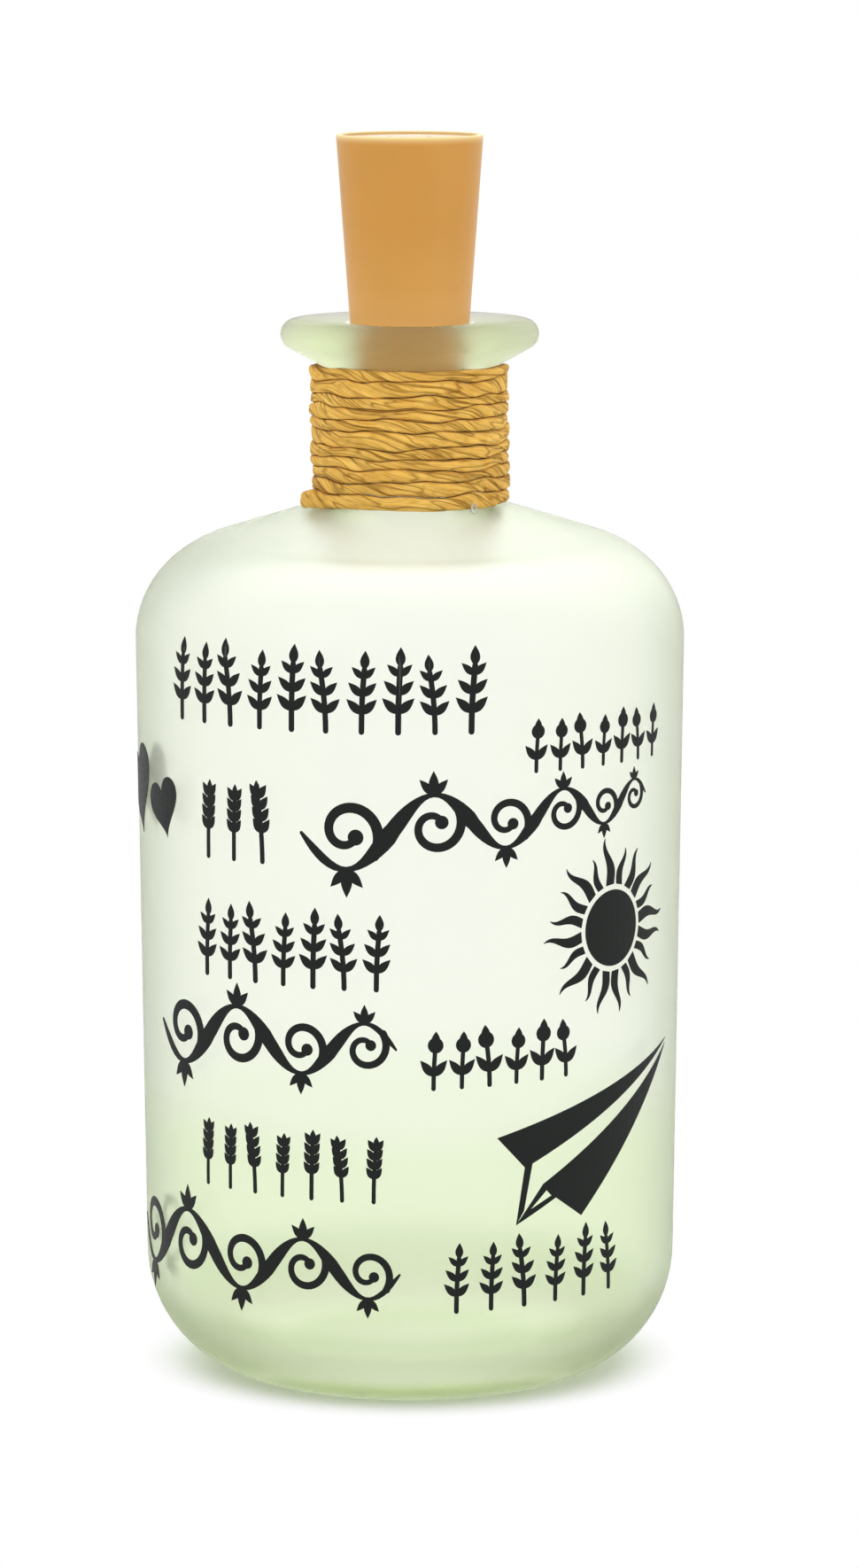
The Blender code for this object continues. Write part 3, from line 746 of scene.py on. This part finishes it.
def wound_cord(material, shoulder):
    """The paper cord as one unbroken tube, flattened and twisted, with folds that run round it and painted
    shade in them.

    It rests on the glass's shoulder, a line of (radius, height) points.
    """
    turn, run, round_it, twist = cord_places()
    points = cord_points(turn, run, round_it, twist, shoulder)
    mesh = tube_mesh("paper_cord_winding", points, cord_ring_sides, closed=False)
    laid = np.stack((run + 0 * twist, twist * cord_depth / 2, 0 * twist), axis=-1)
    lay = mesh.attributes.new("lay", "FLOAT_VECTOR", "POINT")
    lay.data.foreach_set("vector", laid.astype(np.float32).ravel())
    # Painted shade, kept on the points for the paper's colour
    cord_shade_values = cord_painted_shade(turn, run, round_it, twist)
    painted_crease_shade = mesh.attributes.new("painted_crease_shade", "FLOAT", "POINT")
    painted_crease_shade.data.foreach_set("value", cord_shade_values.astype(np.float32).ravel())
    mesh.materials.append(material)
    piece = link(bpy.data.objects.new("paper_cord_winding", mesh))
    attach(piece, "bottle")
    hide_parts("neck_cord")


def glue_loop(material):
    """The bead of glue that was drawn into a small loop under the lowest row."""
    low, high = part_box("glue_drop")
    middle = (low + high) / 2
    middle.z -= glue_sag
    width = (high.x - low.x) * glue_loop_width
    height = (high.z - low.z) * glue_loop_height
    thread = (high.x - low.x) * glue_thread
    upward = Vector((0.0, 0.0, 1.0))
    outward = Vector((middle.x, middle.y, 0.0)).normalized()
    beside = upward.cross(outward)
    points = []
    for step in range(glue_rings):
        turn = math.tau * step / glue_rings
        heading = beside * math.cos(turn) + upward * math.sin(turn)
        centre = middle + beside * (width * math.cos(turn)) + upward * (height * math.sin(turn))
        fat = thread * (1.0 + glue_foot_swell - glue_foot_swell * math.sin(turn))
        for side in range(glue_sides):
            tilt = math.tau * side / glue_sides
            points.append(centre + (heading * math.cos(tilt) + outward * math.sin(tilt)) * fat)
    dress("glue_drop", tube_mesh("glue_loop", np.array(points), glue_sides, closed=True), material)


def body_radius(height, outline):
    """The glass's outer radius at a height on the straight part of the body."""
    heights = [point[1] for point in outline]
    radii = [point[0] for point in outline]
    return float(np.interp(height, heights, radii))


def offset(start, heading, along, off):
    """The point that lies along a heading from a start, and off to its left."""
    return (
        start[0] + along * math.cos(heading) - off * math.sin(heading),
        start[1] + along * math.sin(heading) + off * math.cos(heading),
    )


def leaf(root, heading, length, width):
    """A pointed leaf from its root along a heading, widest a little before its middle."""
    shares = np.linspace(0.0, 1.0, leaf_points)
    points = []
    for side, run in ((-1, shares[:-1]), (1, shares[:0:-1])):
        for share in run:
            half = side * width / 2 * math.sin(math.pi * share**0.8)
            points.append(offset(root, heading, length * share, half))
    return points


def leaf_pair(root, spread, length, width):
    """Two leaves from one root, spread to either side of upright."""
    return [leaf(root, math.pi / 2 - side * spread, length, width) for side in (1, -1)]


def disc(centre, radius, sides=32):
    turns = [math.tau * side / sides for side in range(sides)]
    return [(centre[0] + radius * math.cos(turn), centre[1] + radius * math.sin(turn)) for turn in turns]


def stroke(path, widths):
    """A line drawn with a broad pen: round ends, and a width that changes along it."""
    path = np.array(path, float)
    widths = np.broadcast_to(np.array(widths, float), (len(path),))
    heading = np.gradient(path, axis=0)
    heading /= np.linalg.norm(heading, axis=1)[:, None]
    across = np.stack((-heading[:, 1], heading[:, 0]), axis=1) * widths[:, None] / 2
    right, left = path - across, path + across
    steps = range(len(path) - 1)
    outlines = [[right[index], right[index + 1], left[index + 1], left[index]] for index in steps]
    return outlines + [disc(path[end], widths[end] / 2, pen_sides) for end in (0, -1)]


def heart(centre, width, tilt):
    """The common heart curve, which is 32 of its own units wide, turned by a tilt."""
    points = []
    for step in range(heart_points):
        turn = -math.tau * step / heart_points
        across = 16 * math.sin(turn) ** 3
        up = 13 * math.cos(turn) - 5 * math.cos(2 * turn) - 2 * math.cos(3 * turn) - math.cos(4 * turn)
        points.append(offset(centre, tilt, across * width / 32, up * width / 32))
    return points


def sun(centre, radius, gap, reach, rays):
    """A disc with a ring of waving rays, some a little longer than others."""
    ray_width, ray_belly, ray_taper, ray_tip = 0.115, 0.35, 0.75, 0.03 * mm
    ray_wave, ray_waves, ray_change, first_ray, ray_points = 0.070, 0.9, 0.09, 0.35, 14
    foot = radius + gap
    outlines = [disc(centre, radius, sun_sides)]
    for index in range(rays):
        heading = math.tau * (index + first_ray) / rays
        long = reach * (1.0 + ray_change * math.cos(2.6 * index)) - foot
        left, right = [], []
        for share in np.linspace(0.0, 1.0, ray_points):
            belly = 1 + ray_belly * math.sin(math.pi * share)
            half = ray_width * long * (1 - share) ** ray_taper * belly + ray_tip
            wave = math.sin(math.tau * share * ray_waves + index % 2 * math.pi)
            sway = ray_wave * long * wave * (0.5 + share)
            left.append(offset(centre, heading, foot + long * share, sway + half))
            right.append(offset(centre, heading, foot + long * share, sway - half))
        outlines.append(right + left[::-1])
    return outlines


def paper_plane(place):
    """A folded paper plane seen from its side: the far wing with the stem, the keel and the near wing."""
    tip, tail, notch = place(51.8, 54.3), place(13.6, 43.6), place(18.2, 38.8)
    keel, keel_inside, notch_inside = place(16.8, 30.1), place(18.1, 32.2), place(19.5, 39.3)
    corner, join, end = place(21.4, 36.0), place(23.7, 33.7), place(28.6, 30.4)
    hole_top, hole_side, hole_foot = place(22.0, 35.0), place(22.9, 34.1), place(19.2, 32.3)
    return [
        [tail, notch, keel, keel_inside, notch_inside, tip],
        [keel, hole_foot, hole_top, corner],
        [keel, join, hole_side, hole_foot],
        [corner, hole_top, hole_side, join, end, place(51.5, 53.5)],
    ]


def stem(foot, height, lean, share, points):
    """The line of a stem that leans more and more, up to a share of the plant's height."""
    steps = np.linspace(0.0, 1.0, points)
    return [(foot[0] + lean * height * step**2, foot[1] + height * share * step) for step in steps]


def sprig(foot, height, lean):
    """A slim stem with three pairs of leaves and one at its tip."""
    path = stem(foot, height, lean, 0.78, 8)
    outlines = stroke(path, height * 0.072)
    outlines.append(leaf(path[-1], math.pi / 2 - lean, height * 0.24, height * 0.12))
    for place, size in ((2, 0.27), (4, 0.25), (6, 0.21)):
        outlines += leaf_pair(path[place], 0.80, height * size, height * size * leaf_fatness)
    return outlines


def ear(foot, height, lean):
    """An ear of grain: a stem, then short leaves set close together up to the tip."""
    path = stem(foot, height, lean, 0.86, 13)
    outlines = stroke(path, height * 0.065)
    outlines.append(leaf(path[-1], math.pi / 2 - lean, height * 0.16, height * 0.085))
    for place in (5, 7, 9, 11):
        outlines += leaf_pair(path[place], 0.60, height * 0.22, height * 0.11)
    return outlines


def bud(foot, height, lean):
    """A round bud on a stem with a pair of leaves."""
    path = stem(foot, height, lean, 0.82, 8)
    outlines = stroke(path, height * 0.085)
    outlines.append(disc(path[-1], height * 0.15))
    outlines.append(leaf(path[-1], math.pi / 2 - lean, height * 0.27, height * 0.16))
    return outlines + leaf_pair(path[2], 0.70, height * 0.40, height * 0.17)


def plant_row(plant, left, right, height, count):
    """A row of the same plant, each with a lean and a height of its own."""
    most_lean, height_change = 0.07, 0.05
    outlines = []
    for index in range(count):
        share = (index + 0.5) / count
        foot = (left[0] + (right[0] - left[0]) * share, left[1] + (right[1] - left[1]) * share)
        lean = most_lean * math.sin(2.1 * index + 0.6)
        tall = height * (1 - height_change + height_change * math.sin(3.7 * index))
        outlines += plant(foot, tall, lean)
    return outlines


def vine(left, right, bows, shrink, weight):
    """A bold scroll: a waving stem with a curled tendril in each bow and leaves outside it."""
    swing_share, bow_points = 0.40, 16
    curl_share, curl_inner_share, curl_points = 0.385, 0.30, 40
    curl_turns = np.radians(np.linspace(40.0, -330.0, curl_points))
    curl_shrink = np.exp(np.linspace(0.0, math.log(curl_inner_share), curl_points))
    ratio = shrink ** (1 / (bows - 1))
    first = (right[0] - left[0]) * (1 - ratio) / (1 - ratio**bows)
    outlines, path, widths = [], [], []
    start = left[0]

    def base_line(along):
        return left[1] + (right[1] - left[1]) * (along - left[0]) / (right[0] - left[0])

    for index in range(bows):
        size = ratio**index
        width, pen = first * size, weight * size
        swing = swing_share * width
        side = 1 if index % 2 else -1
        for share in np.linspace(0.0, 1.0, bow_points, endpoint=index == bows - 1):
            along = start + width * share
            path.append((along, base_line(along) + side * swing * math.sin(math.pi * share)))
            slim = min(1.0, 0.18 + 2.2 * min(index + share, bows - index - share))
            widths.append(pen * slim * (0.80 + 0.45 * math.cos(math.tau * share)))

        middle = start + width / 2
        base = base_line(middle)
        reach = width * curl_share * curl_shrink
        across, up = reach * np.cos(curl_turns), side * reach * np.sin(curl_turns)
        curl = np.stack((middle + across, base + up), axis=1)
        outlines += stroke(curl, np.linspace(pen * 0.75, pen * 0.50, curl_points))
        outlines.append(disc(curl[-1], pen * 0.52))
        crest = (middle, base + side * swing)
        for spread, length in ((-0.75, 0.26), (0.0, 0.30), (0.75, 0.26)):
            heading = side * math.pi / 2 + spread
            outlines.append(leaf(crest, heading, width * length, width * length * leaf_fatness))
        start += width
    return outlines + stroke(path, widths)


def cut_film(outlines):
    """Figures joined to one flat film, cut into narrow strips so that it can bend round the glass."""
    points, loops = [], []
    for outline in outlines:
        area = sum(a[0] * b[1] - b[0] * a[1] for a, b in zip(outline, outline[1:] + outline[:1]))
        loops.append([len(points) + index for index in range(len(outline))][:: 1 if area > 0 else -1])
        points += [Vector((float(along) / mm, float(up) / mm)) for along, up in outline]
    places, _, faces, _, _, sources = delaunay_2d_cdt(points, [], loops, 0, vinyl_point_gap_in_mm)
    form = bmesh.new()
    verts = [form.verts.new((point.x * mm, point.y * mm, 0.0)) for point in places]
    for face, source in zip(faces, sources):
        if source:
            form.faces.new([verts[index] for index in face])
    loose = [vert for vert in verts if not vert.link_faces]
    bmesh.ops.delete(form, geom=loose, context="VERTS")
    bmesh.ops.dissolve_limit(form, angle_limit=vinyl_facet_angle, verts=form.verts, edges=form.edges)
    strips = math.ceil(max(abs(vert.co.x) for vert in form.verts) / vinyl_strip)
    for index in range(-strips, strips + 1):
        everything = form.verts[:] + form.edges[:] + form.faces[:]
        cut = (index * vinyl_strip, 0.0, 0.0)
        bmesh.ops.bisect_plane(form, geom=everything, dist=weld / 10, plane_co=cut, plane_no=(1.0, 0.0, 0.0))
    bmesh.ops.triangulate(form, faces=form.faces[:])
    return form


def wrap(name, outlines, material, glass):
    """Lays figures of film on the glass. A figure's points are (along the front, height)."""
    form = cut_film(outlines)
    raised = bmesh.ops.extrude_face_region(form, geom=form.faces[:], use_keep_orig=True)
    for item in raised["geom"]:
        if isinstance(item, bmesh.types.BMVert):
            item.co.z = vinyl_thickness
    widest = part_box("glass_bottle")[1].x
    for vert in form.verts:
        angle = vert.co.x / widest
        radius = body_radius(vert.co.y, glass) + vinyl_clearance + vert.co.z
        vert.co = (radius * math.sin(angle), -radius * math.cos(angle), vert.co.y)
    bmesh.ops.recalc_face_normals(form, faces=form.faces)
    mesh = bpy.data.meshes.new(name)
    form.to_mesh(mesh)
    form.free()
    mesh.materials.append(material)
    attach(link(bpy.data.objects.new(name, mesh)), "bottle")


def add_vinyl(glass):
    """The black figures on the front: hearts, a sun, a paper plane and rows of plants and vines."""
    film = vinyl()

    def place(along, up):
        return (along * mm, up * mm)

    hearts = [heart(place(-58.6, 92.6), 14.5 * mm, 0.33), heart(place(-46.3, 91.0), 9.8 * mm, 0.30)]
    figures = {
        "vinyl_hearts": hearts,
        "vinyl_sun": sun(place(34.6, 73.6), 5.8 * mm, 0.8 * mm, 12.8 * mm, 20),
        "vinyl_plane": paper_plane(place),
        "vinyl_row_1": plant_row(sprig, place(-42.5, 105.0), place(12.0, 105.0), 12.6 * mm, 10),
        "vinyl_row_2": plant_row(bud, place(17.5, 98.6), place(46.5, 98.8), 7.6 * mm, 7),
        "vinyl_row_3": plant_row(ear, place(-36.5, 84.6), place(-20.5, 84.8), 12.0 * mm, 3),
        "vinyl_row_4": vine(place(-16.5, 89.6), place(42.5, 93.3), 6, 0.45, 2.3 * mm),
        "vinyl_row_5": plant_row(sprig, place(-37.0, 66.8), place(-2.5, 66.4), 11.8 * mm, 7),
        "vinyl_row_6": vine(place(-47.5, 57.8), place(-2.0, 57.4), 4, 0.72, 2.2 * mm),
        "vinyl_row_7": plant_row(bud, place(1.5, 51.4), place(27.5, 52.4), 8.4 * mm, 6),
        "vinyl_row_8": plant_row(ear, place(-37.5, 34.6), place(-3.0, 34.2), 10.4 * mm, 7),
        "vinyl_row_9": vine(place(-61.0, 25.0), place(-1.5, 23.2), 5, 0.70, 2.2 * mm),
        "vinyl_row_10": plant_row(sprig, place(4.5, 17.4), place(37.5, 18.6), 10.8 * mm, 6),
    }
    for name, outlines in figures.items():
        wrap(name, outlines, film, glass)


def dress_model():
    """Every CAD node gets a finer surface and a finish of its own."""
    cap = moulded("cap_surface", (0.66, 0.38, 0.14), 0.24)
    button = moulded("button_surface", (0.70, 0.44, 0.19), 0.26)
    black = moulded("switch_surface", (0.025, 0.025, 0.028), 0.45)
    cream = moulded("plunger_surface", (0.72, 0.69, 0.58), 0.42)
    laminate = moulded("laminate_surface", (0.035, 0.19, 0.075), 0.38, grain=1200.0)
    ceramic = moulded("ceramic_surface", (0.05, 0.05, 0.06), 0.35)
    nickel = moulded("nickel_surface", (0.66, 0.64, 0.58), 0.28, Metallic=1.0)
    steel = moulded("steel_surface", (0.60, 0.61, 0.62), 0.24, spread=0.04, Metallic=1.0)
    wire = moulded("wire_surface", (0.62, 0.58, 0.48), 0.30, Metallic=1.0)
    brass = moulded("brass_surface", (0.70, 0.50, 0.20), 0.32, Metallic=1.0)
    white = moulded("carrier_surface", (0.78, 0.77, 0.71), 0.48)
    epoxy = clear_plastic("epoxy_surface", (0.95, 0.91, 0.72), 0.10, 0.7)
    acrylic = clear_plastic("acrylic_surface", (0.93, 0.96, 0.96), 0.06, 0.9)
    glue = clear_plastic("glue_surface", (0.86, 0.85, 0.80), 0.12, 0.75)

    glass = dress_turned("glass_bottle", frosted_glass(), 160)
    mark_outside(glass.data)
    dress_turned("stopper_shell", caramel_plastic(), 96)
    dress_softened("top_cap", cap, 0.05 * mm)
    dress_turned("power_button", button, 64)
    dress_softened("switch_body", black, 0.0)
    dress_turned("switch_plunger", cream, 48)
    dress_turned("switch_board", laminate, 64)
    dress_softened("chip_resistor", ceramic, 0.0)
    dress_turned("positive_contact", nickel, 48)
    for index in (1, 2, 3):
        dress_turned(f"button_cell_{index}", steel, 64)
        dress_turned(f"light_{index}", epoxy, 32)
    dress_softened("negative_spring", wire, 0.0)
    dress_turned("light_board", laminate, 64)
    dress_softened("return_strip", brass, 0.04 * mm)
    dress_softened("battery_carrier", white, 0.06 * mm)
    dress_turned("light_cup", acrylic, 64)
    glue_loop(glue)
    wound_cord(paper(), glass_shoulder())


def glass_side():
    """The straight part of the body, as (radius, height) from the heel up to the shoulder."""
    outline = section("glass_bottle")[0]
    widest = max(point[0] for point in outline)
    side = [point for point in outline if point[0] > widest * side_share and point[1] > side_foot]
    return sorted(side, key=lambda point: point[1])


def glass_shoulder():
    """The top of the shoulder where the cord rests, as (radius, height) from the neck outwards."""
    low, high = shoulder_heights
    outline = section("glass_bottle")[0]
    return sorted(point for point in outline if point[0] > shoulder_inner_radius and low < point[1] < high)


def add_floor():
    """A pale floor that fades to plain white round the bottle, also in reflections and through the glass."""
    mesh = bpy.data.meshes.new("floor")
    form = bmesh.new()
    bmesh.ops.create_circle(form, cap_ends=True, segments=96, radius=floor_radius)
    form.to_mesh(mesh)
    form.free()
    floor = link(bpy.data.objects.new("floor", mesh))
    made = Shader("pale_floor", floor_colour, 0.9, Specular_IOR_Level=0.0)
    white = made.add("ShaderNodeEmission", Color=(1.0, 1.0, 1.0, 1.0), Strength=1.0)
    fade = made.add("ShaderNodeMapRange", From_Min=floor_fade_from, From_Max=floor_fade_to)
    fade.interpolation_type = "SMOOTHSTEP"
    made.join(made.length(made.place(Location=(0.0, -floor_shade_setback, 0.0))), fade.inputs["Value"])
    faded = fade.outputs["Result"]
    path = made.add("ShaderNodeLightPath")
    seen = made.multiply(faded, path.outputs["Is Camera Ray"])
    lifted = made.spread(faded, floor_glow_through_glass, 1.0)
    through = made.multiply(lifted, greatest(made.tree, path, ("Is Glossy Ray", "Is Transmission Ray")))
    mix = made.add("ShaderNodeMixShader")
    made.join(made.calculate("MAXIMUM", seen, through), mix.inputs[0])
    made.join(made.surface.outputs[0], mix.inputs[1])
    made.join(white.outputs[0], mix.inputs[2])
    made.join(mix.outputs[0], made.tree.nodes["Material Output"].inputs["Surface"])
    mesh.materials.append(made.material)


def add_lamps():
    """Soft square lamps that all look at the bottle."""
    for name, place, size, power in lamps:
        light = bpy.data.lights.new(name, "AREA")
        light.size = size
        light.energy = power
        lamp = link(bpy.data.objects.new(name, light))
        lamp.location = place
        lamp.rotation_euler = (Vector(lamp_aim) - Vector(place)).to_track_quat("-Z", "Y").to_euler()


def add_surround():
    """A surround that looks plain white and lights the scene a little less."""
    world = bpy.data.worlds.new("studio")
    world.use_nodes = True
    tree = world.node_tree
    tree.nodes.clear()
    path = tree.nodes.new("ShaderNodeLightPath")
    seen = greatest(tree, path, ("Is Camera Ray", "Is Glossy Ray", "Is Transmission Ray"))
    mix = tree.nodes.new("ShaderNodeMixShader")
    tree.links.new(seen, mix.inputs[0])
    for socket, strength in zip(mix.inputs[1:], (ambient, 1.0)):
        background = tree.nodes.new("ShaderNodeBackground")
        background.inputs["Color"].default_value = (1.0, 1.0, 1.0, 1.0)
        background.inputs["Strength"].default_value = strength
        tree.links.new(background.outputs[0], socket)
    output = tree.nodes.new("ShaderNodeOutputWorld")
    tree.links.new(mix.outputs[0], output.inputs["Surface"])
    bpy.context.scene.world = world


def greatest(tree, path, names):
    """1 for any of the named kinds of ray."""
    last = path.outputs[names[0]]
    for name in names[1:]:
        made = tree.nodes.new("ShaderNodeMath")
        made.operation = "MAXIMUM"
        tree.links.new(last, made.inputs[0])
        tree.links.new(path.outputs[name], made.inputs[1])
        last = made.outputs["Value"]
    return last


def add_camera():
    """The camera that took the photograph, with everything in focus."""
    data = bpy.data.cameras.new("camera")
    data.sensor_width = camera_sensor
    data.lens = camera_lens
    data.dof.use_dof = False
    camera = link(bpy.data.objects.new("camera", data))
    camera.location = camera_place
    camera.rotation_euler = (math.pi / 2 - camera_pitch, 0.0, 0.0)
    bpy.context.scene.camera = camera
    bpy.context.scene.view_settings.view_transform = "Standard"


add_camera()
add_floor()
add_lamps()
add_surround()
dress_model()
add_vinyl(glass_side())
